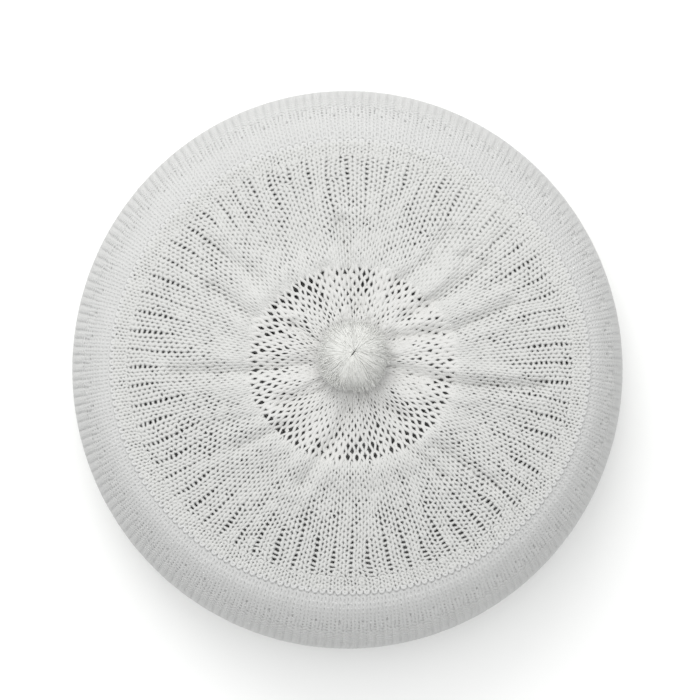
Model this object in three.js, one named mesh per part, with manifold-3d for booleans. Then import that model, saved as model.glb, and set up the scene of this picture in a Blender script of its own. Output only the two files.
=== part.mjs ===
// A machine-knitted cotton kufi: a gathered openwork crown, the chain of loops round its edge,
// a side band with raised columns, and a small pompom on the gathering point.
// Millimetres, +Z up, +Y towards the back. The origin is on the floor, under the middle of the rim.
import * as THREE from 'three';
import { mergeVertices } from 'three/addons/utils/BufferGeometryUtils.js';
import Module from 'manifold-3d';

// Driving dimensions
const clearance = 0.3;         // gap between pieces that are sewn or linked together
const hatWidth = 186.6;        // outside, across the widest part of the band
const hatLength = 189.4;       // outside, front to back
const bandHeight = 70.5;       // rim to the linked edge of the crown
const bandWall = 2.5;
const crownWidth = 151.5;      // across the linked edge
const crownLength = 143.5;
const crownShiftX = 0.9;       // the crown has slipped a little on the wearer's shape
const crownShiftY = 1.4;
const crownRise = 5.5;         // middle of the crown above its edge
const crownWall = 2;
const gatherShiftX = 0.9;      // gathering point, from the crown's own centre
const gatherShiftY = 0.9;
const discRadius = 31.5;       // openwork disc round the gathering point
const swellHeight = 1;         // close-knit ring that puffs up round the disc
const swellWidth = 4;
const eyeletColumns = 60;
const eyeletWidth = 1.7;
const foldDepth = 2.8;         // deepest fold in the crown
const foldHalfWidth = 2.6;     // a fold's valley, from its bottom to where it comes level
const ridgeColumns = 68;       // raised columns round the band
const ridgeHeight = 0.8;
const chainWidth = 3.2;
const chainHeight = 1.8;
const chainRipple = 0.3;       // how far the loops of the chain stand up and down
const pomWidth = 21;
const pomHeight = 18.5;        // before its underside settles flat on the crown
const pomSettle = 2.6;
const pomLeanDeg = 9;
const pomShiftX = 0.2;         // pompom's middle, from the gathering point
const pomShiftY = 2.4;
const lockCount = 13;
const lockThickness = 3.8;
const dimpleLength = 4.4;      // the slit in the pompom's top, where its tie pulls in
const dimpleWidth = 2;

// Rings of the crown from the middle out. Reach is a share of the way to the edge. A pinched ring runs
// through the middle of a row of eyelets, and the two phases set the rows half a column apart.
const discReach = discRadius / ((crownWidth + crownLength) / 4);
const crownRings = [
  { reach: discReach * 0.36, pinch: null, below: false },
  { reach: discReach * 0.66, pinch: null, below: true },
  { reach: discReach * 0.75, pinch: 0, below: true },
  { reach: discReach * 0.84, pinch: null, below: true },
  { reach: discReach * 0.92, pinch: 1, below: true },
  { reach: discReach, pinch: null, below: true },
  { reach: 0.49, pinch: null, below: false },
  { reach: 0.56, pinch: null, below: true },
  { reach: 0.64, pinch: null, below: false },
  { reach: 0.72, pinch: null, below: true },
  { reach: 0.81, pinch: null, below: false },
  { reach: 0.9, pinch: null, below: true },
  { reach: 1, pinch: null, below: true },
];

// Folds of the crown, each along two straight stretches. Angles in degrees round the crown's centre from
// +X, reaches as shares of its radius, depth and width as shares of the deepest fold. A depth below 0 is
// a raised ridge: the last two rows are the seam that closes the crown.
const crownFolds = [
  { from: [355, 0.17], bend: [351, 0.50], to: [354, 0.83], depth: 1.0, width: 1.0 },
  { from: [33, 0.23], bend: [19, 0.47], to: [21, 0.74], depth: 0.85, width: 1.0 },
  { from: [42, 0.29], bend: [37, 0.50], to: [37, 0.73], depth: 0.6, width: 0.9 },
  { from: [60, 0.42], bend: [54, 0.56], to: [54, 0.72], depth: 0.5, width: 0.9 },
  { from: [83, 0.25], bend: [90, 0.44], to: [94, 0.62], depth: 0.75, width: 1.0 },
  { from: [108, 0.26], bend: [106, 0.35], to: [105, 0.43], depth: 0.35, width: 0.9 },
  { from: [149, 0.14], bend: [146, 0.22], to: [143, 0.30], depth: 0.6, width: 0.8 },
  { from: [153, 0.46], bend: [152, 0.57], to: [150, 0.68], depth: 0.65, width: 1.0 },
  { from: [136, 0.54], bend: [138, 0.66], to: [139, 0.80], depth: 0.6, width: 1.1 },
  { from: [171, 0.13], bend: [183, 0.43], to: [182, 0.75], depth: 0.75, width: 1.1 },
  { from: [219, 0.14], bend: [212, 0.24], to: [208, 0.34], depth: 0.55, width: 0.9 },
  { from: [221, 0.40], bend: [218, 0.50], to: [216, 0.59], depth: 0.6, width: 1.0 },
  { from: [209, 0.44], bend: [205, 0.55], to: [203, 0.65], depth: 0.35, width: 1.0 },
  { from: [270, 0.12], bend: [262, 0.28], to: [247, 0.55], depth: 0.7, width: 1.0 },
  { from: [307, 0.18], bend: [313, 0.25], to: [317, 0.32], depth: 0.6, width: 0.8 },
  { from: [341, 0.18], bend: [340, 0.24], to: [340, 0.30], depth: 0.5, width: 0.7 },
  { from: [308, 0.45], bend: [310, 0.54], to: [311, 0.63], depth: 0.45, width: 0.9 },
  { from: [317, 0.50], bend: [319, 0.66], to: [321, 0.83], depth: 0.6, width: 1.0 },
  { from: [45, 0.44], bend: [44, 0.58], to: [47, 0.70], depth: -0.5, width: 0.8 },
  { from: [47, 0.70], bend: [44, 0.82], to: [45, 0.94], depth: -0.4, width: 0.8 },
];

// The band's outside, from the linked edge down to the rim. Height is a share of bandHeight, spread a
// share of the way from the crown's edge out to the widest part, and ridge a share of ridgeHeight.
const bandSections = [
  { height: 1.0, spread: 0.0, ridge: 0 },
  { height: 0.975, spread: 0.2, ridge: 0 },
  { height: 0.9, spread: 0.42, ridge: 0.2 },
  { height: 0.8, spread: 0.61, ridge: 1 },
  { height: 0.66, spread: 0.79, ridge: 1 },
  { height: 0.49, spread: 0.92, ridge: 1 },
  { height: 0.3, spread: 1.0, ridge: 1 },
  { height: 0.14, spread: 0.99, ridge: 0.2 },
  { height: 0.0, spread: 0.95, ridge: 0 },
];
const liningRows = [0, 1, 3, 5, 8];   // rows of that table which the inner surface also has

// The chain's section, from its inner foot over the top to its outer foot.
const chainSection = [
  { across: -0.5, up: 0.0 },
  { across: -0.3, up: 1.0 },
  { across: 0.3, up: 1.0 },
  { across: 0.5, up: 0.0 },
];

const crownRadius = (crownWidth + crownLength) / 4;
const gather = new THREE.Vector2(crownShiftX + gatherShiftX, crownShiftY + gatherShiftY);

function edgePoint(angle, outward) {
  return new THREE.Vector2(
    crownShiftX + (crownWidth / 2 + outward) * Math.cos(angle),
    crownShiftY + (crownLength / 2 + outward) * Math.sin(angle));
}

function polarPoint([degrees, reach]) {
  const angle = THREE.MathUtils.degToRad(degrees);
  return new THREE.Vector2(
    crownShiftX + reach * crownRadius * Math.cos(angle),
    crownShiftY + reach * crownRadius * Math.sin(angle));
}

function distanceToStretch(point, start, end) {
  const line = end.clone().sub(start);
  const along = THREE.MathUtils.clamp(point.clone().sub(start).dot(line) / line.lengthSq(), 0, 1);
  return point.distanceTo(start.clone().addScaledVector(line, along));
}

const foldPaths = crownFolds.map((fold) => ({
  points: [polarPoint(fold.from), polarPoint(fold.bend), polarPoint(fold.to)],
  depth: fold.depth * foldDepth,
  halfWidth: fold.width * foldHalfWidth,
}));

// A fold is a valley with a softer roll of cloth on each side of it.
function foldLift(point) {
  let lift = 0;
  for (const { points, depth, halfWidth } of foldPaths) {
    const distance = Math.min(
      distanceToStretch(point, points[0], points[1]),
      distanceToStretch(point, points[1], points[2]));
    const across = distance / halfWidth;
    lift -= depth * (1 - across * across) * Math.exp(-0.5 * across * across);
  }
  return lift;
}

function domeHeight(reach) {
  const swell = (reach - discReach) * crownRadius / swellWidth - 1;
  return bandHeight + crownRise * (1 - reach ** 2.2) + swellHeight * Math.exp(-swell * swell);
}

// Folds die out under the pompom and under the chain, where the cloth is held.
function foldShare(reach) {
  const fromMiddle = THREE.MathUtils.smoothstep(reach, 0.1, 0.22);
  return fromMiddle * (1 - THREE.MathUtils.smoothstep(reach, 0.8, 0.94));
}

function crownPoint(reach, angle, depthBelow) {
  const flat = gather.clone().lerp(edgePoint(angle, 0), reach);
  const height = domeHeight(reach) + foldShare(reach) * foldLift(flat) - depthBelow;
  return [flat.x, flat.y, height];
}

// Collects corners and triangles of one closed body, counter-clockwise seen from outside.
class Shell {
  constructor() {
    this.corners = [];
    this.faces = [];
  }

  corner(x, y, z) {
    this.corners.push(x, y, z);
    return this.corners.length / 3 - 1;
  }

  triangle(a, b, c) {
    this.faces.push(a, b, c);
  }

  quad(a, b, c, d) {
    this.faces.push(a, b, c, a, c, d);
  }

  geometry() {
    const made = new THREE.BufferGeometry();
    made.setAttribute('position', new THREE.Float32BufferAttribute(this.corners, 3));
    made.setIndex(this.faces);
    return made;
  }
}

const crownColumns = eyeletColumns * 2;

function ringAngle(ring, column) {
  if (ring.pinch === null) return (column / crownColumns) * 2 * Math.PI;
  const centre = 2 * Math.floor(column / 2) + ring.pinch;
  const halfOpening = eyeletWidth / 2 / (ring.reach * crownRadius);
  const side = column % 2 === 0 ? -1 : 1;
  return (centre / crownColumns) * 2 * Math.PI + side * halfOpening;
}

function layRing(shell, ring, depthBelow) {
  const laid = [];
  for (let column = 0; column < crownColumns; column += 1) {
    laid.push(shell.corner(...crownPoint(ring.reach, ringAngle(ring, column), depthBelow)));
  }
  return laid;
}

// One surface of the crown, between two neighbouring rings. Flip turns it to face down.
function clothBetween(shell, inner, outer, innerRing, outerRing, flip) {
  const at = (laid, column) => laid[column % crownColumns];
  const face = (a, b, c) => (flip ? shell.triangle(a, c, b) : shell.triangle(a, b, c));
  if (innerRing.pinch === null && outerRing.pinch === null) {
    for (let column = 0; column < crownColumns; column += 1) {
      face(at(inner, column), at(outer, column), at(outer, column + 1));
      face(at(inner, column), at(outer, column + 1), at(inner, column + 1));
    }
    return;
  }
  for (let eyelet = 0; eyelet < eyeletColumns; eyelet += 1) {
    const strandLeft = 2 * eyelet + 1;
    if (outerRing.pinch !== null) {
      const tip = 2 * eyelet + outerRing.pinch;
      face(at(inner, tip), at(outer, strandLeft), at(inner, tip + 1));
      face(at(inner, tip + 1), at(outer, strandLeft), at(outer, strandLeft + 1));
      face(at(inner, tip + 1), at(outer, strandLeft + 1), at(inner, tip + 2));
    } else {
      const tip = 2 * eyelet + innerRing.pinch;
      face(at(inner, strandLeft), at(outer, tip), at(outer, tip + 1));
      face(at(inner, strandLeft), at(outer, tip + 1), at(inner, strandLeft + 1));
      face(at(inner, strandLeft + 1), at(outer, tip + 1), at(outer, tip + 2));
    }
  }
}

function closeLoop(shell, above, below) {
  for (let i = 0; i < above.length; i += 1) {
    const next = (i + 1) % above.length;
    shell.quad(above[i], above[next], below[next], below[i]);
  }
}

function crownGeometry() {
  const shell = new Shell();
  const topMiddle = shell.corner(...crownPoint(0, 0, 0));
  const underMiddle = shell.corner(...crownPoint(0, 0, crownWall));
  const top = crownRings.map((ring) => layRing(shell, ring, 0));
  const under = crownRings.map((ring) => (ring.below ? layRing(shell, ring, crownWall) : null));
  const underRows = [...crownRings.keys()].filter((i) => crownRings[i].below);
  for (let column = 0; column < crownColumns; column += 1) {
    const next = (column + 1) % crownColumns;
    shell.triangle(topMiddle, top[0][column], top[0][next]);
    shell.triangle(underMiddle, under[underRows[0]][next], under[underRows[0]][column]);
  }
  for (let i = 0; i + 1 < crownRings.length; i += 1) {
    clothBetween(shell, top[i], top[i + 1], crownRings[i], crownRings[i + 1], false);
  }
  for (let row = 0; row + 1 < underRows.length; row += 1) {
    const [i, next] = [underRows[row], underRows[row + 1]];
    clothBetween(shell, under[i], under[next], crownRings[i], crownRings[next], true);
  }
  crownRings.forEach((ring, i) => {
    if (ring.pinch === null) return;
    for (let eyelet = 0; eyelet < eyeletColumns; eyelet += 1) {
      const tip = (2 * eyelet + ring.pinch) % crownColumns;
      const rim = (laid) => [laid[i - 1][tip], laid[i][2 * eyelet], laid[i + 1][tip], laid[i][2 * eyelet + 1]];
      closeLoop(shell, rim(top), rim(under));
    }
  });
  closeLoop(shell, [...top.at(-1)].reverse(), [...under.at(-1)].reverse());
  return shell.geometry();
}

// A tube of cloth that closes on itself: rows of corners, each row once round the hat.
function ringBody(rows) {
  const shell = new Shell();
  const laid = rows.map((row) => row.map((point) => shell.corner(...point)));
  laid.forEach((row, i) => {
    const nextRow = laid[(i + 1) % laid.length];
    row.forEach((corner, column) => {
      const next = (column + 1) % row.length;
      shell.quad(corner, nextRow[column], nextRow[next], row[next]);
    });
  });
  return shell.geometry();
}

const bandColumns = ridgeColumns * 2;

function bandPoint(section, column, ridgeOffset, inward, downward) {
  const angle = (column / bandColumns) * 2 * Math.PI;
  const edge = edgePoint(angle, clearance);
  const widest = new THREE.Vector2(Math.cos(angle) * hatWidth / 2, Math.sin(angle) * hatLength / 2);
  const flat = edge.lerp(widest, section.spread);
  const out = new THREE.Vector2(Math.cos(angle), Math.sin(angle)).multiplyScalar(ridgeOffset - inward);
  return [flat.x + out.x, flat.y + out.y, section.height * bandHeight - downward];
}

function bandGeometry() {
  const columns = [...Array(bandColumns).keys()];
  const spreadLength = (hatWidth - crownWidth + hatLength - crownLength) / 4;
  const outside = bandSections.map((section) => columns.map((column) => {
    const valley = column % 2 === 0 ? 0 : -ridgeHeight * section.ridge;
    return bandPoint(section, column, valley, 0, 0);
  }));
  const inside = liningRows.map((index) => {
    const section = bandSections[index];
    if (index === 0) return columns.map((column) => bandPoint(section, column, 0, 0, bandWall));
    const isRim = index === bandSections.length - 1;
    const before = bandSections[index - 1];
    const after = bandSections[isRim ? index : index + 1];
    const run = (after.spread - before.spread) * spreadLength;
    const drop = (before.height - after.height) * bandHeight;
    const slope = Math.hypot(run, drop);
    const inward = isRim ? bandWall : bandWall * drop / slope;
    const downward = isRim ? 0 : bandWall * run / slope;
    const hollow = ridgeHeight * section.ridge;
    return columns.map((column) => bandPoint(section, column, 0, inward + hollow, downward));
  });
  return ringBody([...outside, ...inside.reverse()]);
}

// The chain lies on the linked edge, over the joint between crown and band.
function chainGeometry() {
  const seat = domeHeight(1 - chainWidth / 2 / crownRadius) + clearance;
  const rows = chainSection.map(({ across, up }) => (
    [...Array(bandColumns).keys()].map((column) => {
      const angle = (column / bandColumns) * 2 * Math.PI;
      const flat = edgePoint(angle, clearance / 2 + across * chainWidth);
      const ripple = (column % 2 === 0 ? 0 : -2) * chainRipple * up;
      return [flat.x, flat.y, seat + up * chainHeight + ripple];
    })));
  return ringBody(rows);
}

const wasm = await Module();
wasm.setup();

function toSolid(geometry) {
  const bare = geometry.clone();
  bare.deleteAttribute('normal');
  bare.deleteAttribute('uv');
  const merged = mergeVertices(bare, 1e-4);
  return new wasm.Manifold(new wasm.Mesh({
    numProp: 3,
    vertProperties: Float32Array.from(merged.attributes.position.array),
    triVerts: Uint32Array.from(merged.index.array),
  }));
}

function toGeometry(solid) {
  const mesh = solid.getMesh();
  const made = new THREE.BufferGeometry();
  made.setAttribute('position', new THREE.BufferAttribute(Float32Array.from(mesh.vertProperties), 3));
  made.setIndex(new THREE.BufferAttribute(Uint32Array.from(mesh.triVerts), 1));
  return made;
}

// A point of the pompom's outside, from its dimple down, before it leans.
function pomPoint(angle, fromTop, standOff) {
  const across = pomWidth / 2 + standOff;
  const up = pomHeight / 2 + standOff;
  return new THREE.Vector3(
    across * Math.sin(fromTop) * Math.cos(angle),
    across * Math.sin(fromTop) * Math.sin(angle),
    up * Math.cos(fromTop));
}

// A lock of yarn lies over the head from the dimple down its side, thick in the middle.
function lockGeometry(angle) {
  const steps = 5;
  const sides = 5;
  const topAngle = 0.28;
  const lowAngle = 2.1;
  const radius = lockThickness / 2;
  const shell = new Shell();
  const sideways = new THREE.Vector3(-Math.sin(angle), Math.cos(angle), 0);
  const rows = [];
  for (let step = 1; step < steps; step += 1) {
    const share = step / steps;
    const fromTop = THREE.MathUtils.lerp(topAngle, lowAngle, share);
    const middle = pomPoint(angle, fromTop, -radius);
    const outward = middle.clone().normalize();
    const girth = radius * Math.sin(Math.PI * share) ** 0.5;
    rows.push([...Array(sides).keys()].map((side) => {
      const turn = (side / sides) * 2 * Math.PI;
      const point = middle.clone()
        .addScaledVector(outward, girth * Math.cos(turn))
        .addScaledVector(sideways, girth * Math.sin(turn));
      return shell.corner(point.x, point.y, point.z);
    }));
  }
  const first = pomPoint(angle, topAngle, -radius);
  const last = pomPoint(angle, lowAngle, -radius);
  const start = shell.corner(first.x, first.y, first.z);
  const end = shell.corner(last.x, last.y, last.z);
  for (let side = 0; side < sides; side += 1) {
    const next = (side + 1) % sides;
    shell.triangle(start, rows[0][side], rows[0][next]);
    shell.triangle(end, rows.at(-1)[next], rows.at(-1)[side]);
    for (let row = 0; row + 1 < rows.length; row += 1) {
      shell.quad(rows[row][side], rows[row + 1][side], rows[row + 1][next], rows[row][next]);
    }
  }
  return shell.geometry();
}

// The head and its locks fused, dimpled on top and cut flat where the pompom sits on the crown.
function pompomGeometry() {
  const headRadius = (pomWidth - lockThickness) / 2;
  const headRise = (pomHeight - lockThickness) / 2;
  const head = new THREE.SphereGeometry(1, 14, 9);
  head.rotateX(Math.PI / 2);
  head.scale(headRadius + 0.6, headRadius + 0.6, headRise + 0.4);
  let fused = toSolid(head);
  for (let lock = 0; lock < lockCount; lock += 1) {
    fused = fused.add(toSolid(lockGeometry((lock / lockCount) * 2 * Math.PI)));
  }
  const dimple = new THREE.SphereGeometry(1, 8, 6);
  dimple.scale(dimpleLength / 2, dimpleWidth / 2, lockThickness);
  dimple.rotateZ(THREE.MathUtils.degToRad(55));
  dimple.translate(0, 0, pomHeight / 2);
  fused = fused.subtract(toSolid(dimple));
  const leaned = toGeometry(fused);
  leaned.rotateX(-THREE.MathUtils.degToRad(pomLeanDeg));
  const seat = domeHeight(0) + clearance;
  leaned.translate(gather.x + pomShiftX, gather.y + pomShiftY, seat + pomHeight / 2 - pomSettle);
  const below = new THREE.BoxGeometry(2 * pomWidth, 2 * pomWidth, pomHeight);
  below.translate(gather.x + pomShiftX, gather.y + pomShiftY, seat - pomHeight / 2);
  return toGeometry(toSolid(leaned).subtract(toSolid(below)));
}

function cotton(color, roughness) {
  return new THREE.MeshStandardMaterial({ color, roughness, metalness: 0 });
}

function piece(name, geometry, material) {
  const mesh = new THREE.Mesh(geometry, material);
  mesh.name = name;
  return mesh;
}

const kufi = new THREE.Group();
kufi.add(piece('crown', crownGeometry(), cotton(0xe4e5e1, 0.92)));
kufi.add(piece('edge_chain', chainGeometry(), cotton(0xeeeeea, 0.9)));
kufi.add(piece('band', bandGeometry(), cotton(0xdadbd8, 0.92)));
kufi.add(piece('pompom', pompomGeometry(), cotton(0xe9e9e5, 0.95)));

export default kufi;
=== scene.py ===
# A white machine-knitted cotton kufi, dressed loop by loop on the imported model.
import math
import bmesh
import bpy
import numpy as np
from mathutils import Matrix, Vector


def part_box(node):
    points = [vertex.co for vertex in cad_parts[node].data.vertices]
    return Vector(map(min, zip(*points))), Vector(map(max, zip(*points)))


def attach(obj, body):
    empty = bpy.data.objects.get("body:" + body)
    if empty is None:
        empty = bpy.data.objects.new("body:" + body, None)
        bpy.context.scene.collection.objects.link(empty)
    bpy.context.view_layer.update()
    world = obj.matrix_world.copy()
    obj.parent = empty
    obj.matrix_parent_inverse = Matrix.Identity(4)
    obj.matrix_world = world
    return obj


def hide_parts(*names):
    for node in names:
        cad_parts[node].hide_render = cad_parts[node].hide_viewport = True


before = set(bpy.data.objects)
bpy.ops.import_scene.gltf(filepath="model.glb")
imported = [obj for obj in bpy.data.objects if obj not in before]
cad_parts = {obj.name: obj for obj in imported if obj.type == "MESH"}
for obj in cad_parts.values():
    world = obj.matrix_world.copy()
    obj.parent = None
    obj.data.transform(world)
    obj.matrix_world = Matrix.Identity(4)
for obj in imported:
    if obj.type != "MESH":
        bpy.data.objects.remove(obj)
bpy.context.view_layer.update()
mm = 0.001
turn = 2 * math.pi
print("frame loaded")


# Shape of the cap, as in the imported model

crownLow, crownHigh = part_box("crown")
bandLow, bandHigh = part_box("band")
pomLow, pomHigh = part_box("pompom")

cap = {
    "crownX": (crownLow.x + crownHigh.x) / 2,
    "crownY": (crownLow.y + crownHigh.y) / 2,
    "crownHalfWidth": (crownHigh.x - crownLow.x) / 2,
    "crownHalfLength": (crownHigh.y - crownLow.y) / 2,
    "hatHalfWidth": (bandHigh.x - bandLow.x) / 2,
    "hatHalfLength": (bandHigh.y - bandLow.y) / 2,
    "edgeHeight": bandHigh.z,
    "crownRise": 5.5 * mm,
    "domePower": 2.2,
    "gatherX": (crownLow.x + crownHigh.x) / 2 + 0.9 * mm,
    "gatherY": (crownLow.y + crownHigh.y) / 2 + 0.9 * mm,
    "discRadius": 31.5 * mm,
    "swellHeight": 1.0 * mm,  # a soft roll of cloth round the disc
    "swellWidth": 4.0 * mm,
    "foldDepth": 1.8 * mm,  # shallower than in the model, as the open knit bridges a fold
    "foldHalfWidth": 2.6 * mm,
    "foldsFrom": (0.1, 0.22),  # reaches between which the folds set in and fade out
    "foldsTo": (0.8, 0.94),
    "creaseDepth": 0.6 * mm,  # a thin line along the bottom of each fold
    "creaseHalfWidth": 0.5 * mm,
}
cap["crownRadius"] = (cap["crownHalfWidth"] + cap["crownHalfLength"]) / 2
cap["discReach"] = cap["discRadius"] / cap["crownRadius"]

# Folds of the crown as in the model: angles in degrees, reaches in shares of the crown's radius,
# depth and width in shares of the deepest fold. Below 0 the cloth is raised, as along the seam.
crownFolds = [
    {"start": (355, 0.17), "bend": (351, 0.50), "end": (354, 0.83), "depth": 1.0, "width": 1.0},
    {"start": (33, 0.23), "bend": (19, 0.47), "end": (21, 0.74), "depth": 0.85, "width": 1.0},
    {"start": (42, 0.29), "bend": (37, 0.50), "end": (37, 0.73), "depth": 0.6, "width": 0.9},
    {"start": (60, 0.42), "bend": (54, 0.56), "end": (54, 0.72), "depth": 0.5, "width": 0.9},
    {"start": (83, 0.25), "bend": (90, 0.44), "end": (94, 0.62), "depth": 0.75, "width": 1.0},
    {"start": (108, 0.26), "bend": (106, 0.35), "end": (105, 0.43), "depth": 0.35, "width": 0.9},
    {"start": (149, 0.14), "bend": (146, 0.22), "end": (143, 0.30), "depth": 0.6, "width": 0.8},
    {"start": (153, 0.46), "bend": (152, 0.57), "end": (150, 0.68), "depth": 0.65, "width": 1.0},
    {"start": (136, 0.54), "bend": (138, 0.66), "end": (139, 0.80), "depth": 0.6, "width": 1.1},
    {"start": (171, 0.13), "bend": (183, 0.43), "end": (182, 0.75), "depth": 0.75, "width": 1.1},
    {"start": (219, 0.14), "bend": (212, 0.24), "end": (208, 0.34), "depth": 0.55, "width": 0.9},
    {"start": (221, 0.40), "bend": (218, 0.50), "end": (216, 0.59), "depth": 0.6, "width": 1.0},
    {"start": (209, 0.44), "bend": (205, 0.55), "end": (203, 0.65), "depth": 0.35, "width": 1.0},
    {"start": (270, 0.12), "bend": (262, 0.28), "end": (247, 0.55), "depth": 0.7, "width": 1.0},
    {"start": (307, 0.18), "bend": (313, 0.25), "end": (317, 0.32), "depth": 0.6, "width": 0.8},
    {"start": (341, 0.18), "bend": (340, 0.24), "end": (340, 0.30), "depth": 0.5, "width": 0.7},
    {"start": (308, 0.45), "bend": (310, 0.54), "end": (311, 0.63), "depth": 0.45, "width": 0.9},
    {"start": (317, 0.50), "bend": (319, 0.66), "end": (321, 0.83), "depth": 0.6, "width": 1.0},
    {"start": (45, 0.44), "bend": (44, 0.58), "end": (47, 0.70), "depth": -0.5, "width": 0.8},
    {"start": (47, 0.70), "bend": (44, 0.82), "end": (45, 0.94), "depth": -0.4, "width": 0.8},
]

# The band from the linked edge down to the rim, as in the model: height in shares of the edge's
# height, spread in shares of the way from the crown's outline to the hat's.
bandSections = [
    {"height": 1.0, "spread": 0.0},
    {"height": 0.975, "spread": 0.2},
    {"height": 0.9, "spread": 0.42},
    {"height": 0.8, "spread": 0.61},
    {"height": 0.66, "spread": 0.79},
    {"height": 0.49, "spread": 0.92},
    {"height": 0.3, "spread": 1.0},
    {"height": 0.14, "spread": 0.99},
    {"height": 0.0, "spread": 0.95},
]


def columns(table, *keys):
    return [[row[key] for row in table] for key in keys]


def smoothStep(value, low, high):
    share = np.clip((value - low) / (high - low), 0, 1)
    return share * share * (3 - 2 * share)


def foldPoint(place):
    angle, reach = math.radians(place[0]), place[1] * cap["crownRadius"]
    return np.array([cap["crownX"] + reach * math.cos(angle), cap["crownY"] + reach * math.sin(angle)])


def distanceToStretch(x, y, start, end):
    line = end - start
    along = np.clip(((x - start[0]) * line[0] + (y - start[1]) * line[1]) / (line @ line), 0, 1)
    return np.hypot(x - start[0] - along * line[0], y - start[1] - along * line[1])


def foldLift(x, y):
    lift = np.zeros_like(x)
    for fold in crownFolds:
        start, bend, end = (foldPoint(fold[key]) for key in ("start", "bend", "end"))
        distance = np.minimum(distanceToStretch(x, y, start, bend), distanceToStretch(x, y, bend, end))
        across = distance / (fold["width"] * cap["foldHalfWidth"])
        lift -= fold["depth"] * cap["foldDepth"] * (1 - across**2) * np.exp(-0.5 * across**2)
        crease = np.exp(-((distance / cap["creaseHalfWidth"]) ** 2))
        lift -= abs(fold["depth"]) * cap["creaseDepth"] * crease
    return lift


# Plan of the crown: reach from the gathering point, 0, to the linked edge, 1.
def crownPlan(reach, angle):
    edgeX = cap["crownX"] + cap["crownHalfWidth"] * np.cos(angle)
    edgeY = cap["crownY"] + cap["crownHalfLength"] * np.sin(angle)
    x = cap["gatherX"] + reach * (edgeX - cap["gatherX"])
    y = cap["gatherY"] + reach * (edgeY - cap["gatherY"])
    return x, y


# The same plan backwards: how far toward the edge a place lies, from the ellipse through it.
def crownReach(x, y):
    placeX = (x - cap["gatherX"]) / cap["crownHalfWidth"]
    placeY = (y - cap["gatherY"]) / cap["crownHalfLength"]
    offX = (cap["gatherX"] - cap["crownX"]) / cap["crownHalfWidth"]
    offY = (cap["gatherY"] - cap["crownY"]) / cap["crownHalfLength"]
    square = placeX**2 + placeY**2
    mixed = placeX * offX + placeY * offY
    rest = 1 - offX**2 - offY**2
    return square / (np.sqrt(mixed**2 + square * rest) - mixed)


def crownHeight(x, y):
    reach = crownReach(x, y)
    swell = (reach - cap["discReach"]) * cap["crownRadius"] / cap["swellWidth"] - 1
    dome = cap["edgeHeight"] + cap["crownRise"] * (1 - reach ** cap["domePower"])
    dome = dome + cap["swellHeight"] * np.exp(-swell * swell)
    share = smoothStep(reach, *cap["foldsFrom"]) * (1 - smoothStep(reach, *cap["foldsTo"]))
    return dome + share * foldLift(x, y)


# A smooth curve through a few values: cubic pieces with slopes from the neighbours.
def smoothThrough(values, places, at):
    slopes = np.gradient(values, places)
    piece = np.clip(np.searchsorted(places, at) - 1, 0, len(places) - 2)
    step = places[piece + 1] - places[piece]
    share = (at - places[piece]) / step
    return (
        values[piece] * (1 + 2 * share) * (1 - share) ** 2
        + slopes[piece] * step * share * (1 - share) ** 2
        + values[piece + 1] * share**2 * (3 - 2 * share)
        + slopes[piece + 1] * step * share**2 * (share - 1)
    )


sectionHeights, sectionSpreads = np.array(columns(bandSections, "height", "spread"))
sectionHeights = sectionHeights * cap["edgeHeight"]
meanSpread = (cap["hatHalfWidth"] + cap["hatHalfLength"]) / 2 - cap["crownRadius"]
sectionSteps = np.hypot(np.diff(sectionHeights), np.diff(sectionSpreads) * meanSpread)
sectionArcs = np.concatenate([[0], np.cumsum(sectionSteps)])
bandArc = sectionArcs[-1]


# Points of the band: arc is the way down the cloth from the linked edge, lift stands out from it.
def bandSurface(arc, angle, lift):
    height = smoothThrough(sectionHeights, sectionArcs, arc)
    spread = smoothThrough(sectionSpreads, sectionArcs, arc)
    nudge = 0.2 * mm  # a short way on, for the slope
    fall = smoothThrough(sectionHeights, sectionArcs, arc + nudge) - height
    run = (smoothThrough(sectionSpreads, sectionArcs, arc + nudge) - spread) * meanSpread
    slope = np.hypot(fall, run)
    out = -fall / slope * lift
    up = run / slope * lift
    edgeX = cap["crownX"] + cap["crownHalfWidth"] * np.cos(angle)
    edgeY = cap["crownY"] + cap["crownHalfLength"] * np.sin(angle)
    x = edgeX + spread * (cap["hatHalfWidth"] * np.cos(angle) - edgeX) + out * np.cos(angle)
    y = edgeY + spread * (cap["hatHalfLength"] * np.sin(angle) - edgeY) + out * np.sin(angle)
    return np.stack([x, y, height + up], axis=-1)


# Materials

def linearColour(hexValue):
    parts = [int(hexValue[i:i + 2], 16) / 255 for i in (1, 3, 5)]
    return tuple(c / 12.92 if c <= 0.04045 else ((c + 0.055) / 1.055) ** 2.4 for c in parts) + (1.0,)


def addNode(tree, kind, settings=None, links=None):
    node = tree.nodes.new(kind)
    for name, value in (settings or {}).items():
        if name in node.inputs:
            node.inputs[name].default_value = value
        else:
            setattr(node, name, value)
    for name, source in (links or {}).items():
        tree.links.new(source, node.inputs[name])
    return node


# Spun cotton of any kind scatters light evenly: no shine, and a faint pale haze of loose fibre ends.
cottonFinish = {"Roughness": 0.88, "IOR": 1.5, "Specular IOR Level": 0.2, "Sheen Weight": 0.2,
                "Sheen Roughness": 0.6}
fibreDepth = 0.12 * mm


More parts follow.
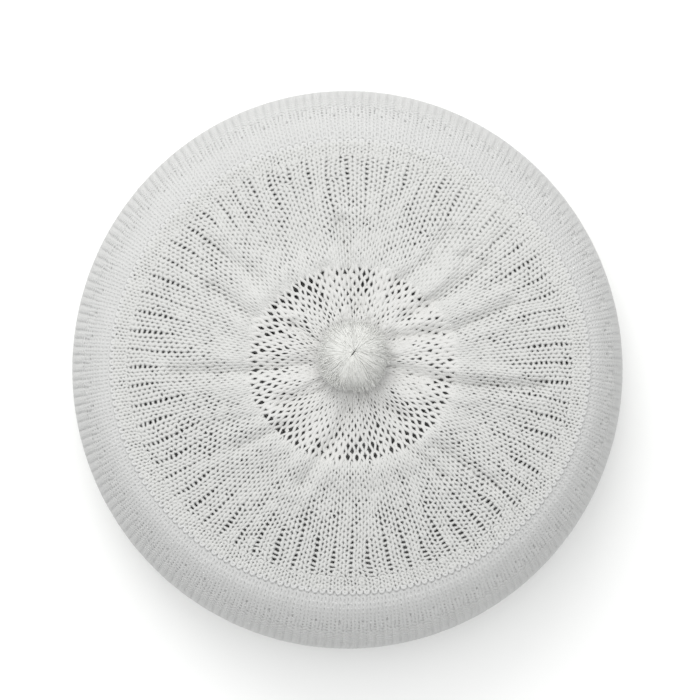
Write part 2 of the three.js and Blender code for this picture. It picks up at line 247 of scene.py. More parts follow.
# Cotton yarn that is a little lighter and darker in patches, with fibres that make it uneven. Patch
# and fibre are their sizes in mm. Real fibres are about 0.02 mm thick, too fine to show in the
# render, so they are drawn as coarse as they need to be to show.
def combedCotton(name, settings):
    material = bpy.data.materials.new(name)
    material.use_nodes = True
    tree = material.node_tree
    tree.nodes.clear()
    place = addNode(tree, "ShaderNodeTexCoord").outputs["Object"]
    fibreSettings = {"Scale": 1 / (settings["fibre"] * mm), "Detail": 3.0, "Roughness": 0.65}
    fibres = addNode(tree, "ShaderNodeTexNoise", fibreSettings, {"Vector": place})
    patchSettings = {"Scale": 1 / (settings["patch"] * mm), "Detail": 2.0}
    patches = addNode(tree, "ShaderNodeTexNoise", patchSettings, {"Vector": place})
    tone = addNode(tree, "ShaderNodeMix", {"data_type": "RGBA"}, {0: patches.outputs["Fac"]})
    tone.inputs[6].default_value = linearColour(settings["shade"])
    tone.inputs[7].default_value = linearColour(settings["light"])
    bumpSettings = {"Strength": settings["fuzz"], "Distance": fibreDepth}
    bump = addNode(tree, "ShaderNodeBump", bumpSettings, {"Height": fibres.outputs["Fac"]})
    cotton = addNode(tree, "ShaderNodeBsdfPrincipled", cottonFinish,
                     {"Base Color": tone.outputs[2], "Normal": bump.outputs["Normal"]})
    addNode(tree, "ShaderNodeOutputMaterial", {}, {"Surface": cotton.outputs["BSDF"]})
    return material


# Fine white yarn of the crown's mesh: plain matte white.
crownYarn = combedCotton("crownCombedCotton", {
    "light": "#cdcdca", "shade": "#c5c5c2", "fibre": 0.25, "patch": 9.0, "fuzz": 0.35})
# The same yarn drawn tight in the disc, given a touch lighter colour there as painted light, since the
# tight yarn looks lighter.
discLitYarn = combedCotton("discCombedCottonPaintedLight", {
    "light": "#d2d2cf", "shade": "#cac9c6", "fibre": 0.25, "patch": 7.0, "fuzz": 0.35})
# Thicker doubled yarn of the band, a touch cooler, and darker than the crown's yarn as painted shade on
# the band's sloping sides; the back of the band uses it too.
bandShadedYarn = combedCotton("bandCombedCottonPaintedShade", {
    "light": "#cacac8", "shade": "#c2c2c0", "fibre": 0.25, "patch": 12.0, "fuzz": 0.35})
# Mercerised yarn of the linking chain: smoother, with fewer loose fibres.
chainYarn = combedCotton("chainMercerisedCotton", {
    "light": "#cdcdcb", "shade": "#c6c6c4", "fibre": 0.3, "patch": 6.0, "fuzz": 0.25})
# Soft untwisted cotton of the pompom: the fuzziest, and the lightest in colour as painted light over the
# shade between its fibres.
pomLitYarn = combedCotton("pompomSoftCottonPaintedLight", {
    "light": "#dcdcd8", "shade": "#d4d4d0", "fibre": 0.3, "patch": 5.0, "fuzz": 0.5})
print("materials made")


# Knitting

rng = np.random.default_rng(540)

# Yarn lies pressed flat in real cloth. Its heights are divided by this where it is laid out round,
# and multiplied by it where it is draped.
pressed = 0.6
loopReach = 0.7  # head and foot lie this many stitches from the middle, so courses interlock


# One knitted loop, sampled: across and along in stitches, and how far forward, 1 in front to -1 behind.
# Lean spreads its head and draws in its foot, narrow draws its legs together, and point sharpens both
# ends.
def loopShape(samples, lean, narrow=0, point=0):
    way = np.arange(samples) / samples * turn
    across = way / turn + lean * np.sin(2 * way) + narrow * np.sin(way)
    along = -loopReach * (np.cos(way) + point * np.cos(3 * way)) / (1 + point)
    return across, along, -np.cos(2 * way)


# Slow waves, so that no two columns of stitches run quite alike: amplitude in shares of a turn and of
# the crown's radius, waves round the cap, and waves from middle to edge.
clothWaves = [
    {"sideways": 0.0018, "outward": 0.003, "round": 3, "across": 0.5, "start": 0.2},
    {"sideways": 0.0012, "outward": 0.002, "round": 7, "across": 0.9, "start": 2.1},
    {"sideways": 0.0007, "outward": 0.002, "round": 13, "across": 1.5, "start": 4.0},
    {"sideways": 0.0005, "outward": 0.0015, "round": 23, "across": 2.3, "start": 1.1},
    {"sideways": 0.0004, "outward": 0.0015, "round": 41, "across": 3.1, "start": 5.2},
]
# Reaches between which the waves set in and die out again.
wavesFrom = (0.2, 0.5)
wavesTo = (0.85, 1.0)


# How far the cloth is drawn sideways, in radians, and outward, in shares of the crown's radius.
def wander(angle, reach):
    held = smoothStep(reach, *wavesFrom) * (1 - smoothStep(reach, *wavesTo))
    sideways = outward = 0
    for wave in clothWaves:
        phase = wave["round"] * angle + turn * wave["across"] * reach + wave["start"]
        sideways = sideways + wave["sideways"] * turn * np.sin(phase)
        outward = outward + wave["outward"] * np.cos(phase + wave["start"])
    return sideways * held, outward * held


def drapeOnCrown(co):
    co[:, 2] = crownHeight(co[:, 0], co[:, 1]) + co[:, 2] * pressed
    return co


# Puts a finished mesh in the scene as a smooth piece of the cap.
def placePiece(name, mesh, material):
    mesh.name = name
    mesh.materials.clear()
    mesh.materials.append(material)
    mesh.polygons.foreach_set("use_smooth", [True] * len(mesh.polygons))
    piece = bpy.data.objects.new(name, mesh)
    bpy.context.scene.collection.objects.link(piece)
    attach(piece, "root")
    return piece


def placeBmesh(name, bm, material):
    mesh = bpy.data.meshes.new(name)
    bm.to_mesh(mesh)
    bm.free()
    placePiece(name, mesh, material)


# Rings of yarn, each an array of points, one of radii and whether it closes, drawn as one piece.
def yarnRings(name, rings, material, nodeName, sides=4, drape=None):
    data = bpy.data.curves.new(name, "CURVE")
    data.dimensions = "3D"
    data.twist_mode = "Z_UP"
    data.bevel_depth = 1.0
    data.bevel_resolution = sides // 2 - 2
    data.use_fill_caps = True
    for points, radii, closed in rings:
        spline = data.splines.new("POLY")
        spline.points.add(len(points) - 1)
        flat = np.ones((len(points), 4))
        flat[:, :3] = points
        spline.points.foreach_set("co", flat.ravel())
        spline.points.foreach_set("radius", radii)
        spline.use_cyclic_u = closed
        spline.use_smooth = True
    drawn = bpy.data.objects.new(name + "Path", data)
    bpy.context.scene.collection.objects.link(drawn)
    mesh = bpy.data.meshes.new_from_object(drawn.evaluated_get(bpy.context.evaluated_depsgraph_get()))
    bpy.data.objects.remove(drawn)
    if drape:
        co = np.empty(len(mesh.vertices) * 3, dtype=np.float32)
        mesh.vertices.foreach_get("co", co)
        draped = drape(co.reshape(-1, 3).astype(float))
        mesh.vertices.foreach_set("co", draped.astype(np.float32).ravel())
        mesh.update()
    piece = placePiece(name, mesh, material)
    if nodeName:
        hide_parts(nodeName)
    print(name, len(rings), "yarns", sum(len(p.vertices) - 2 for p in mesh.polygons), "triangles")


crownMesh = {
    "periods": 68,
    "samples": 12,
    "lean": 0.23,
    "point": 0.06,
    "jitter": 0.06,
    "girthJitter": 0.12,
    "rungGirths": (0.85, 1.1),
    "rungStart": 0.9,  # share of its own girth at which a rung begins
    "yarn": 0.55 * mm,
    "relief": 0.1 * mm,
    "outerReach": 0.985,
    "innerClear": 0.01,  # the mesh stops this much outside the disc
    "firstAngle": 0.01,
    "openSide": math.radians(277),  # where the mesh is stretched most open
    "closing": 0.2,  # how much thicker its yarn is on the opposite side
    "ladderClosing": 0.4,  # how much narrower its ladders are there
    "seamAngle": math.radians(49),
    "seamWidth": math.radians(9),
    "seamClosing": 0.3,  # how much thicker the yarn is along the seam
    "pairing": 0.05,  # every second course lies a little nearer to the next
}
# Stitch height in mm, loops in a period, gap of the missing needle in loops and yarn girth, at shares
# of the crown's radius.
meshStations = [
    {"reach": 0.42, "height": 2.2, "loops": 2, "gap": 0.0, "girth": 0.95},
    {"reach": 0.54, "height": 2.2, "loops": 2, "gap": 0.0, "girth": 0.95},
    {"reach": 0.66, "height": 2.0, "loops": 2, "gap": 0.02, "girth": 0.98},
    {"reach": 0.75, "height": 1.85, "loops": 2, "gap": 0.12, "girth": 1.0},
    {"reach": 0.82, "height": 1.7, "loops": 2, "gap": 0.34, "girth": 1.0},
    {"reach": 0.905, "height": 1.55, "loops": 2, "gap": 0.4, "girth": 1.0},
    {"reach": 0.935, "height": 1.4, "loops": 2.4, "gap": 0.1, "girth": 1.0},
    {"reach": 0.95, "height": 1.35, "loops": 3, "gap": 0.0, "girth": 0.88},
    {"reach": 0.97, "height": 1.35, "loops": 3, "gap": 0.0, "girth": 0.93},
    {"reach": 0.985, "height": 1.35, "loops": 3, "gap": 0.0, "girth": 1.1},
]


def meshStation(reach):
    row = {key: float(np.interp(reach, *columns(meshStations, "reach", key)))
           for key in ("height", "loops", "gap", "girth")}
    row["reach"] = reach
    row["loops"] = round(row["loops"])
    return row


# One course of the crown: in each period some loops side by side and a straight rung over the gap
# that a missing needle leaves.
def crownCourse(row):
    periods, samples, loops = crownMesh["periods"], crownMesh["samples"], row["loops"]
    across, along, front = loopShape(samples, crownMesh["lean"], point=crownMesh["point"])
    wales = periods * loops
    nudgeX = rng.normal(0, crownMesh["jitter"], (wales, 1))
    nudgeY = rng.normal(0, crownMesh["jitter"], (wales, 1))
    girth = 1 + rng.normal(0, crownMesh["girthJitter"], (wales, 1))
    wale = np.arange(wales)[:, None]
    period = wale // loops
    closedSide = 0.5 - 0.5 * np.cos(period / periods * turn - crownMesh["openSide"])
    gap = row["gap"] * (1 - crownMesh["ladderClosing"] * closedSide)
    unit = 1 / (loops + gap)
    withinPeriod = (wale % loops + across + nudgeX * (1 - abs(2 * across - 1)) + gap / 2) * unit
    position = (period + withinPeriod) / periods
    alongStitch = np.broadcast_to(along, position.shape) + nudgeY
    relief = np.broadcast_to(front, position.shape)
    last = slice(loops - 1, None, loops)
    rungEnd = (period[last] + (loops + gap[last] / 2) * unit[last]) / periods
    shape = (periods, loops * samples)
    position = np.concatenate([position.reshape(shape), rungEnd], axis=1)
    alongStitch = np.concatenate([alongStitch.reshape(shape), np.full_like(rungEnd, along[0])], axis=1)
    relief = np.concatenate([relief.reshape(shape), np.full_like(rungEnd, front[0])], axis=1)
    girth = np.broadcast_to(girth, (wales, samples)).reshape(shape)
    rung = rng.uniform(*crownMesh["rungGirths"], rungEnd.shape)
    girth = np.concatenate([girth, rung], axis=1)
    girth[:, 0] = rung[:, 0] * crownMesh["rungStart"]
    return position.ravel(), alongStitch.ravel(), relief.ravel(), girth.ravel()


def makeCrownMesh():
    reach, rows = crownMesh["outerReach"], []
    while reach > cap["discReach"] + crownMesh["innerClear"]:
        rows.append(meshStation(reach))
        reach -= rows[-1]["height"] * mm / cap["crownRadius"]
    rings = []
    for count, row in enumerate(rows):
        position, alongStitch, relief, girth = crownCourse(row)
        angle = position * turn + crownMesh["firstAngle"]
        alternate = crownMesh["pairing"] * (count % 2 - 0.5)
        at = row["reach"] - (alongStitch + alternate) * row["height"] * mm / cap["crownRadius"]
        sideways, outward = wander(angle, at)
        x, y = crownPlan(at + outward, angle + sideways)
        closed = 1 + crownMesh["closing"] * (0.5 - 0.5 * np.cos(angle - crownMesh["openSide"]))
        offSeam = (angle - crownMesh["seamAngle"]) / crownMesh["seamWidth"]
        closed = closed + crownMesh["seamClosing"] * np.exp(-offSeam * offSeam)
        points = np.stack([x, y, relief * crownMesh["relief"] / pressed], axis=-1)
        rings.append((points, girth * closed * row["girth"] * crownMesh["yarn"], True))
    split = len(rings) // 2
    yarnRings("crownMeshOuter", rings[:split], crownYarn, "crown", drape=drapeOnCrown)
    yarnRings("crownMeshInner", rings[split:], crownYarn, None, drape=drapeOnCrown)
    return reach


discKnit = {
    "wales": 68,
    "samples": 12,
    "sides": 6,
    "lean": 0.24,
    "point": 0.12,
    "jitter": 0.08,
    "girthJitter": 0.15,
    "stitchHeight": 1.5,  # in mm at the middle, and how much more at the disc's edge
    "stitchGrowth": 2.2,
    "yarn": 0.53 * mm,
    "leastYarn": 0.23 * mm,  # toward the middle the yarn thins to this and a share of the stitch
    "yarnShare": 0.13,
    "shutYarn": 0.45,  # how much thicker the yarn looks where a fold draws the holes shut
    "relief": 0.16 * mm,
    "innerReach": 0.1,
    "gathers": 19,
    "gatherWobble": 2,
    "gatherWobbles": 5,
    "gatherLift": 0.4 * mm,
    "gatherCentre": 0.13,
    "gatherReach": 0.12,
}
# How open the disc is, round the pompom: angles in degrees, 1 fully open and 0 drawn shut by a fold.
discOpenings = [
    {"angle": 0, "open": 0.6}, {"angle": 30, "open": 0.1}, {"angle": 55, "open": 0.6},
    {"angle": 68, "open": 0.2}, {"angle": 82, "open": 0.7}, {"angle": 97, "open": 0.15},
    {"angle": 112, "open": 0.9}, {"angle": 135, "open": 1.0}, {"angle": 150, "open": 0.6},
    {"angle": 170, "open": 1.0}, {"angle": 190, "open": 0.6}, {"angle": 205, "open": 0.9},
    {"angle": 235, "open": 0.9}, {"angle": 262, "open": 0.7}, {"angle": 285, "open": 1.0},
    {"angle": 320, "open": 1.0}, {"angle": 340, "open": 0.5}, {"angle": 352, "open": 0.2},
    {"angle": 360, "open": 0.6},
]


# One course of the disc, with the gathers that run in under the pompom.
def discCourse(reach, share, height):
    wales = discKnit["wales"]
    across, along, front = loopShape(discKnit["samples"], discKnit["lean"], point=discKnit["point"])
    stitchWidth = turn * reach * cap["crownRadius"] / wales
    yarn = min(discKnit["yarn"], discKnit["yarnShare"] * stitchWidth + discKnit["leastYarn"])
    wale = np.arange(wales)[:, None]
    nudge = rng.normal(0, discKnit["jitter"], (wales, 2))
    position = (wale + across + nudge[:, :1]) / wales
    alongStitch = along + nudge[:, 1:]
    girth = 1 + rng.normal(0, discKnit["girthJitter"], (wales, 1)) + 0 * across
    angle = (position * turn + crownMesh["firstAngle"]).ravel()
    x, y = crownPlan((reach - alongStitch * height / cap["crownRadius"]).ravel(), angle)
    relief = np.broadcast_to(front, position.shape) * discKnit["relief"] * share**0.5
    wobble = discKnit["gatherWobble"] * np.sin(discKnit["gatherWobbles"] * angle)
    folds = discKnit["gathers"] * angle + wobble
    offGathers = (reach - discKnit["gatherCentre"]) / discKnit["gatherReach"]
    gathered = discKnit["gatherLift"] * np.exp(-(offGathers**2))
    points = np.stack([x, y, (relief.ravel() + gathered * np.sin(folds)) / pressed], axis=-1)
    shut = 1 - np.interp(np.degrees(angle) % 360, *columns(discOpenings, "angle", "open"))
    return points, girth.ravel() * yarn * (1 + discKnit["shutYarn"] * shut), True


def makeDisc(outerReach):
    reach, rings = outerReach, []
    while reach > discKnit["innerReach"]:
        share = reach / cap["discReach"]
        height = (discKnit["stitchHeight"] + discKnit["stitchGrowth"] * share) * mm
        rings.append(discCourse(reach, share, height))
        reach -= height / cap["crownRadius"]
    yarnRings("crownDisc", rings, discLitYarn, None, discKnit["sides"], drapeOnCrown)


outerDisc = makeCrownMesh()
makeDisc(outerDisc)
print("crown knitted")


chainKnit = {
    "wales": 204,
    "samples": 8,
    "sides": 6,
    "lean": 0.09,
    "jitter": 0.05,
    "yarn": 0.5 * mm,
    "height": 0.9 * mm,
    "lift": 0.02 * mm,
    "relief": 0.06 * mm,
}


# The linking chain: loops that head outward, lying on the joint of crown and band.
def makeChain():
    across, along, front = loopShape(chainKnit["samples"], chainKnit["lean"])
    wale = np.arange(chainKnit["wales"])[:, None]
    nudge = rng.normal(0, chainKnit["jitter"], (chainKnit["wales"], 2))
    position = (wale + 0.5 + across + nudge[:, :1]) / chainKnit["wales"]
    outward = (along + nudge[:, 1:]) * chainKnit["height"] / cap["crownRadius"]
    lift = chainKnit["lift"] + np.broadcast_to(front, position.shape) * chainKnit["relief"]
    angle = position * turn + crownMesh["firstAngle"]
    x, y = crownPlan(1.0 + outward.ravel(), angle.ravel())
    points = np.stack([x, y, lift.ravel() / pressed], axis=-1)
    radii = np.full(position.size, chainKnit["yarn"])
    yarnRings("linkChain", [(points, radii, True)], chainYarn, "edge_chain",
              chainKnit["sides"], drapeOnCrown)


makeChain()


bandKnit = {
    "wales": 204,
    "samples": 6,
    "lean": 0.16,
    "narrow": 0.05,
    "jitter": 0.025,
    "girthJitter": 0.04,
    "ribHeight": 1.9 * mm,
    "barHeight": 2.5 * mm,
    "barStart": 0.17,  # where the bars begin, and how far on they are full, in shares of the way down
    "barBlend": 0.1,
    "heightBlend": 0.04,
    "yarn": 0.96 * mm,
    "barYarn": 0.92,
    "pressed": 0.35,  # the band's yarn is pressed flatter than the crown's
    "skew": 0.35,  # makes one slope of each bar steeper than the other
    "relief": 0.03 * mm,
    "groove": 0.09 * mm,  # between the ribs, shallower at the edge and almost gone in the bars
    "grooveStart": 5.0 * mm,
    "grooveAtEdge": 0.35,
    "grooveFading": 0.88,
    "dentWidth": 0.75 * mm,
    "eyeletSquash": 0.7,  # below 1, eyelets are longer down the band
    "eyeletReach": 1.3,  # how far round it an eyelet pushes the yarn, in its own sizes
    "firstRow": 0.72 * mm,
    "upperFrom": 8,  # courses at which the next piece begins
    "lowerFrom": 20,
    "hemRows": 3,
    "hemSides": 6,
    "hemDepth": 4.6 * mm,
    "hemPlain": 0.9,
    "rimClear": 0.25 * mm,
    "sink": 0.4 * mm,  # how far below the face the middle of the yarn lies
}
# Eyelets where the ribs end: way down the cloth, place in the period, how far the yarn is pushed aside
# and how far it is drawn in.
eyelets = [
    {"arc": 12.2 * mm, "phase": 0.5, "size": 0.7 * mm, "dent": 0.3 * mm},
    {"arc": 14.8 * mm, "phase": 0.72, "size": 0.25 * mm, "dent": 0.8 * mm},
    {"arc": 17.3 * mm, "phase": 0.72, "size": 0.2 * mm, "dent": 0.6 * mm},
]
# Each wale of a period below the ribs: how far in mm it stands out, how much its stitches tilt and how
# far they are drawn flat into bars.
bars = [
    {"out": 0.02, "tilt": 0.2, "flat": 0.7},
    {"out": 0.005, "tilt": 0.16, "flat": 0.68},
    {"out": -0.01, "tilt": 0.12, "flat": 0.66},
]


def bandStitch(arc):
    blend = [bandKnit["barStart"], bandKnit["barStart"] + bandKnit["heightBlend"]]
    return float(np.interp(arc / bandArc, blend, [bandKnit["ribHeight"], bandKnit["barHeight"]]))


# The band is laid out flat: along the hat, then up from the linked edge, then out from the cloth.
def drapeOnBand(co):
    return bandSurface(-co[:, 1], co[:, 0] / cap["hatHalfWidth"], co[:, 2] * bandKnit["pressed"])


# One course of the band, which ends where it began. Plain flattens its loops, as in the rolled hem.
def bandCourse(arc, plain=0):
    wales, samples = bandKnit["wales"], bandKnit["samples"]
    girthOfHat = turn * cap["hatHalfWidth"]
    lean, narrow = bandKnit["lean"] * (1 - plain), bandKnit["narrow"] * (1 - plain)
    across, along, front = loopShape(samples, lean, narrow)
    wale = np.arange(wales + 1)[:, None]
    nudge = rng.normal(0, bandKnit["jitter"], (wales + 1, 2))
    nudge[-1] = nudge[0]
    barEnd = bandKnit["barStart"] + bandKnit["barBlend"]
    barred = float(smoothStep(arc / bandArc, bandKnit["barStart"], barEnd))
    outs, tilts, flats = [np.array(column)[wale % len(bars)] * barred
                          for column in columns(bars, "out", "tilt", "flat")]
    position = (wale + across + nudge[:, :1]) / wales
    groove = (np.abs(np.sin(math.pi * position * wales)) ** 0.6 - 1) * bandKnit["groove"]
    atEdge = bandKnit["grooveAtEdge"]
    groove = groove * (atEdge + (1 - atEdge) * min(1, arc / bandKnit["grooveStart"]))
    lift = outs * mm + front * bandKnit["relief"] + groove * (1 - bandKnit["grooveFading"] * barred)
    slant = np.sin(turn * across) + bandKnit["skew"] * np.sin(2 * turn * across)
    alongStitch = (along * (1 - flats) + tilts * slant * 0.5) * (1 - plain)
    at = arc - (alongStitch + nudge[:, 1:]) * bandStitch(arc)
    for eyelet in eyelets:
        period = position * wales / len(bars) - eyelet["phase"]
        sideways = (period - np.round(period)) * len(bars) / wales * girthOfHat
        down = at - eyelet["arc"]
        away = np.hypot(sideways, down * bandKnit["eyeletSquash"]) + 0.01 * mm  # never quite 0
        push = eyelet["size"] * np.exp(-away / eyelet["size"] / bandKnit["eyeletReach"]) / away
        lift = lift - eyelet["dent"] * np.exp(-(away / bandKnit["dentWidth"]) ** 2)
        position = position + sideways * push / girthOfHat
        at = at + down * push
    angle = position * turn + crownMesh["firstAngle"]
    girth = 1 + rng.normal(0, bandKnit["girthJitter"], (wales + 1, 1)) + 0 * across
    girth[-1] = girth[0]
    height = (lift - bandKnit["sink"]) / bandKnit["pressed"]
    points = np.stack([angle * cap["hatHalfWidth"], -at, height], axis=-1)
    used = slice(0, wales * samples + 2)
    yarn = bandKnit["yarn"] * (1 + (bandKnit["barYarn"] - 1) * barred)
    return points.reshape(-1, 3)[used], girth.ravel()[used] * yarn, False


def makeBand():
    rings, arc = [], bandKnit["firstRow"]
    while arc < bandArc - bandKnit["hemDepth"]:
        rings.append(bandCourse(arc))
        arc += bandStitch(arc)
    upper, lower = bandKnit["upperFrom"], bandKnit["lowerFrom"]
    yarnRings("bandShoulder", rings[:upper], bandShadedYarn, "band", drape=drapeOnBand)
    yarnRings("bandColumnsUpper", rings[upper:lower], bandShadedYarn, None, drape=drapeOnBand)
    yarnRings("bandColumnsLower", rings[lower:], bandShadedYarn, None, drape=drapeOnBand)
    last = bandArc - bandKnit["yarn"] - bandKnit["rimClear"]
    between = (bandKnit["hemDepth"] - 2 * bandKnit["yarn"]) / (bandKnit["hemRows"] - 1)
    hem = [bandCourse(last - between * row, bandKnit["hemPlain"]) for row in range(bandKnit["hemRows"])]
    yarnRings("bandHem", hem, bandShadedYarn, None, bandKnit["hemSides"], drapeOnBand)


makeBand()
print("band knitted")


# The inner side of the band: the back of the doubled cloth

lining = {
    "steps": 136,
    "rows": 40,
    "thickness": 0.8 * mm,
    "start": 0.01,  # in shares of the way down the band
    "end": 0.985,
    "spunFace": 1.0,  # radii at which the face and the back are spun
    "spunBack": 0.5,
}
# How far below the face it lies, on the way down the cloth: deeper behind the eyelets.
liningDepths = [
    {"arc": 0.0, "depth": 0.33 * mm},
    {"arc": 10.5 * mm, "depth": 0.33 * mm},
    {"arc": 12.0 * mm, "depth": 0.5 * mm},
    {"arc": 17.5 * mm, "depth": 0.5 * mm},
    {"arc": 20.0 * mm, "depth": 0.33 * mm},
]


# A closed section is spun into a plain tube, with the share of the way down as its height, and is
# then laid behind the band.
def makeLining():
    bm = bmesh.new()
    rows = lining["rows"]
    shares = [lining["start"] + (lining["end"] - lining["start"]) * i / rows for i in range(rows + 1)]
    outer = [bm.verts.new((lining["spunFace"], 0, share)) for share in shares]
    inner = [bm.verts.new((lining["spunBack"], 0, v.co.z)) for v in reversed(outer)]
    ring = outer + inner
    edges = [bm.edges.new((ring[i], ring[(i + 1) % len(ring)])) for i in range(len(ring))]
    bmesh.ops.spin(bm, geom=ring + edges, cent=(0, 0, 0), axis=(0, 0, 1), angle=turn,
                   steps=lining["steps"], use_merge=True)
    co = np.array([v.co for v in bm.verts])
    angle = np.arctan2(co[:, 1], co[:, 0])
    arcs, depths = columns(liningDepths, "arc", "depth")
    onFace = np.hypot(co[:, 0], co[:, 1]) > (lining["spunFace"] + lining["spunBack"]) / 2
    faceDepth = np.interp(co[:, 2] * bandArc, arcs, depths)
    depth = np.where(onFace, faceDepth, depths[0] + lining["thickness"])
    placed = bandSurface(co[:, 2] * bandArc, angle, -depth)
    for vert, point in zip(bm.verts, placed):
        vert.co = point
    bmesh.ops.recalc_face_normals(bm, faces=bm.faces)
    placeBmesh("bandInside", bm, bandShadedYarn)


makeLining()
print("inside made")


# Pompom

# Angles down from its top and round it are in radians, and heights are shares of its size.
pom = {
    "seed": 12,
    "strands": 4800,
    "samples": 5,
    "yarn": 0.14 * mm,
    "girths": (0.8, 1.2),
    "tipThinning": 0.6,
    "x": cap["gatherX"] + 0.2 * mm,
    "y": cap["gatherY"] + 2.4 * mm,
    "halfWidth": 10.2 * mm,
    "halfHeight": (pomHigh.z - pomLow.z) * 0.56,
    "lean": math.radians(9),
    "coreSegments": 48,
    "coreRings": 24,
    "coreSize": 0.84,
    "coreDip": 2.0 * mm,
    "coreDipSpread": 0.1,  # square of its reach, in shares of the core
    "scatter": 0.4,
    "goldenShare": 0.618,
    "slitAngle": math.radians(55),
    "slitLength": 0.95 * mm,
    "slitDepth": 0.8 * mm,
    "slitGap": 0.15 * mm,
    "slitReach": 0.25,  # fibres that start further down than this hardly part
}
# Locks that start near the top and lie down over the core.
tufts = {
    "count": 260,
    "starts": 0.45,  # how widely they are strewn from the top down
    "lengths": (0.8, 1.7),
    "heights": (0.95, 1.03),
    "startJitter": 0.12,
    "endJitter": 0.1,
    "lastEnds": (1.9, 2.3),  # none ends further down
    "spread": 0.11,
    "spreadStart": 0.35,  # keeps the spread small at the top
    "tipSpread": 0.5,  # share of the spread that is left at the tips
    "turning": 0.03,
    "sinkAndRise": (-0.04, 0.02),
    "tipRise": (0, 0.05),
}
# Short loose fibres, in small clumps that stand out round the sides.
fluff = {
    "inFive": 2,  # so many of each five fibres
    "clumps": 84,
    "starts": (0.85, 1.75),
    "lengths": (0.15, 0.4),
    "root": 0.92,
    "outs": (0.08, 0.24),
    "outJitter": (-0.03, 0.03),
    "startJitter": 0.09,
    "spread": 0.12,
    "turning": 0.08,
}


def leanPom(points):
    upright, sideways = math.cos(-pom["lean"]), math.sin(-pom["lean"])
    middle = pomHigh.z - pom["halfHeight"]
    x, y, z = points[..., 0], points[..., 1], points[..., 2]
    leanY, leanZ = y * upright - z * sideways, y * sideways + z * upright
    return np.stack([x + pom["x"], leanY + pom["y"], leanZ + middle], axis=-1)


def makeCore():
    bm = bmesh.new()
    bmesh.ops.create_uvsphere(bm, u_segments=pom["coreSegments"], v_segments=pom["coreRings"], radius=1.0)
    co = np.array([v.co for v in bm.verts])
    core = co * np.array([pom["halfWidth"], pom["halfWidth"], pom["halfHeight"]]) * pom["coreSize"]
    core[:, 2] -= pom["coreDip"] * np.exp(-((co[:, 0] ** 2 + co[:, 1] ** 2) / pom["coreDipSpread"]))
    for vert, point in zip(bm.verts, leanPom(core)):
        vert.co = point
    placeBmesh("pompomCore", bm, pomLitYarn)


# Evenly scattered angles, each a golden share of a turn after the one before.
def scatteredAngles(pomRng, count):
    shifts = pomRng.uniform(-pom["scatter"], pom["scatter"], count)
    return (np.arange(count) + shifts) * turn * pom["goldenShare"]


# Fibres part along a short slit at the top, where their roots are drawn out along it, apart and down.
# Way runs from 0 at the root to 1 at the tip.
def partAtSlit(points, angle, start, way):
    slitX, slitY = math.cos(pom["slitAngle"]), math.sin(pom["slitAngle"])
    slit = math.cos(angle - pom["slitAngle"]) * pom["slitLength"]
    gap = math.copysign(pom["slitGap"], math.sin(angle - pom["slitAngle"]))
    points[:, 0] += slit * slitX * (1 - way) ** 3 - gap * slitY * (1 - way) ** 6
    points[:, 1] += slit * slitY * (1 - way) ** 3 + gap * slitX * (1 - way) ** 6
    points[:, 2] -= pom["slitDepth"] * math.exp(-(start / pom["slitReach"]) ** 2) * (1 - way) ** 3


def makeTuft():
    pomRng = np.random.default_rng(pom["seed"])
    tuftAngles = scatteredAngles(pomRng, tufts["count"])
    tuftStarts = np.abs(pomRng.normal(0, tufts["starts"], tufts["count"]))
    tuftEnds = tuftStarts + pomRng.uniform(*tufts["lengths"], tufts["count"])
    tuftHeights = pomRng.uniform(*tufts["heights"], tufts["count"])
    clumpAngles = scatteredAngles(pomRng, fluff["clumps"])
    clumpStarts = pomRng.uniform(*fluff["starts"], fluff["clumps"])
    clumpOuts = pomRng.uniform(*fluff["outs"], fluff["clumps"])
    way = np.linspace(0, 1, pom["samples"])
    strands = []
    for i in range(pom["strands"]):
        if i % 5 < fluff["inFive"]:
            clump = i % fluff["clumps"]
            start = clumpStarts[clump] + pomRng.normal(0, fluff["startJitter"])
            end = start + pomRng.uniform(*fluff["lengths"])
            angle = clumpAngles[clump] + pomRng.normal(0, fluff["spread"])
            angle = angle + pomRng.normal(0, fluff["turning"]) * way
            out = clumpOuts[clump] + pomRng.uniform(*fluff["outJitter"])
            standOff = fluff["root"] + out * way**0.8
        else:
            tuft = i % tufts["count"]
            start = abs(tuftStarts[tuft] + pomRng.normal(0, tufts["startJitter"]))
            end = tuftEnds[tuft] + pomRng.normal(0, tufts["endJitter"])
            end = min(end, pomRng.uniform(*tufts["lastEnds"]))
            spread = pomRng.normal(0, tufts["spread"]) / (tufts["spreadStart"] + start)
            angle = tuftAngles[tuft] + spread * (1 - (1 - tufts["tipSpread"]) * way)
            angle = angle + pomRng.normal(0, tufts["turning"]) * way
            standOff = tuftHeights[tuft] + pomRng.uniform(*tufts["sinkAndRise"])
            standOff = standOff + pomRng.uniform(*tufts["tipRise"]) * way**3
        fromTop = start + (end - start) * way
        points = np.stack([
            pom["halfWidth"] * standOff * np.sin(fromTop) * np.cos(angle),
            pom["halfWidth"] * standOff * np.sin(fromTop) * np.sin(angle),
            pom["halfHeight"] * standOff * np.cos(fromTop),
        ], axis=-1)
        partAtSlit(points, angle[0], start, way)
        radii = pom["yarn"] * pomRng.uniform(*pom["girths"]) * (1 - pom["tipThinning"] * way**3)
        strands.append((leanPom(points), radii, False))
    yarnRings("pompomTuft", strands, pomLitYarn, "pompom")


makeCore()
makeTuft()
print("pompom made")


# Floor, light and camera

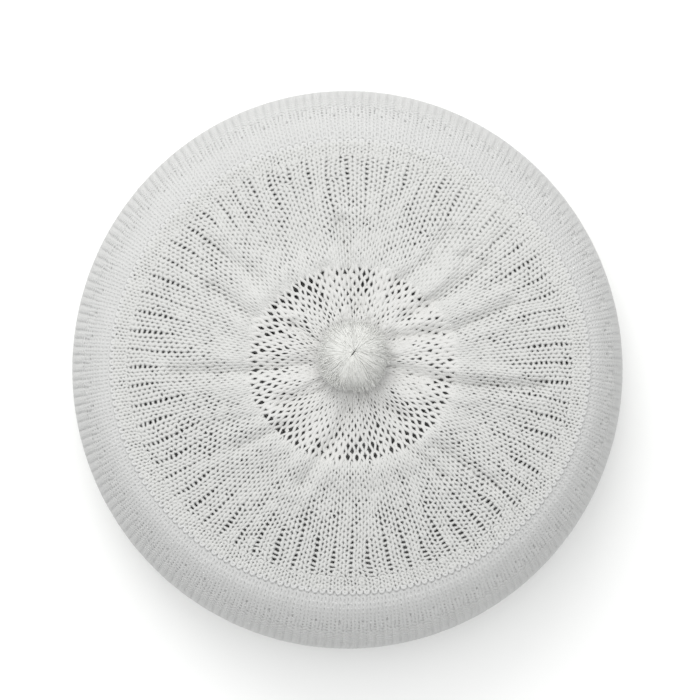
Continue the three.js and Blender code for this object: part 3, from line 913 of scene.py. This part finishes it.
stage = {
    "floorHalfWidth": 3.0,
    "floorPaper": "#f8f8f6",
    "roomColour": (0.97, 0.98, 1.0, 1),
    "roomStrength": 0.7,
    "lightsAim": (0, 0, 0.06),
    "cameraPlace": (0.9 * mm, 6.7 * mm, 800 * mm),
    "sensorWidth": 36,
    "focalPixels": 2292,  # focal length for a picture framePixels wide
    "framePixels": 700,
}
softboxes = [
    {"name": "overheadSoftbox", "place": (-0.1, 0.3, 1.4), "size": 1.4, "power": 10.3},
    {"name": "keySoftbox", "place": (-0.25, 1.05, 1.1), "size": 1.0, "power": 7.2},
]


def makeFloor():
    mesh = bpy.data.meshes.new("floor")
    bm = bmesh.new()
    bmesh.ops.create_grid(bm, x_segments=1, y_segments=1, size=stage["floorHalfWidth"])
    bm.to_mesh(mesh)
    bm.free()
    floor = bpy.data.objects.new("floor", mesh)
    bpy.context.scene.collection.objects.link(floor)
    # Matt white paper sweep, the same all over.
    material = bpy.data.materials.new("whitePaperSweep")
    material.use_nodes = True
    tree = material.node_tree
    tree.nodes.clear()
    paper = addNode(tree, "ShaderNodeBsdfPrincipled", {
        "Roughness": 0.9, "Specular IOR Level": 0.2, "Base Color": linearColour(stage["floorPaper"])})
    addNode(tree, "ShaderNodeOutputMaterial", {}, {"Surface": paper.outputs["BSDF"]})
    mesh.materials.append(material)


def makeLight():
    world = bpy.data.worlds.new("softRoom")
    bpy.context.scene.world = world
    world.use_nodes = True
    background = world.node_tree.nodes["Background"]
    background.inputs["Color"].default_value = stage["roomColour"]
    background.inputs["Strength"].default_value = stage["roomStrength"]
    for softbox in softboxes:
        data = bpy.data.lights.new(softbox["name"], "AREA")
        data.shape = "DISK"
        data.size = softbox["size"]
        data.energy = softbox["power"]
        light = bpy.data.objects.new(softbox["name"], data)
        light.location = softbox["place"]
        toward = Vector(stage["lightsAim"]) - Vector(softbox["place"])
        light.rotation_euler = toward.to_track_quat("-Z", "Y").to_euler()
        bpy.context.scene.collection.objects.link(light)


def makeCamera():
    data = bpy.data.cameras.new("camera")
    data.sensor_width = stage["sensorWidth"]
    data.lens = data.sensor_width * stage["focalPixels"] / stage["framePixels"]
    camera = bpy.data.objects.new("camera", data)
    camera.location = stage["cameraPlace"]
    bpy.context.scene.collection.objects.link(camera)
    bpy.context.scene.camera = camera


makeFloor()
makeLight()
makeCamera()
bpy.context.scene.view_settings.view_transform = "Standard"
print("stage made")
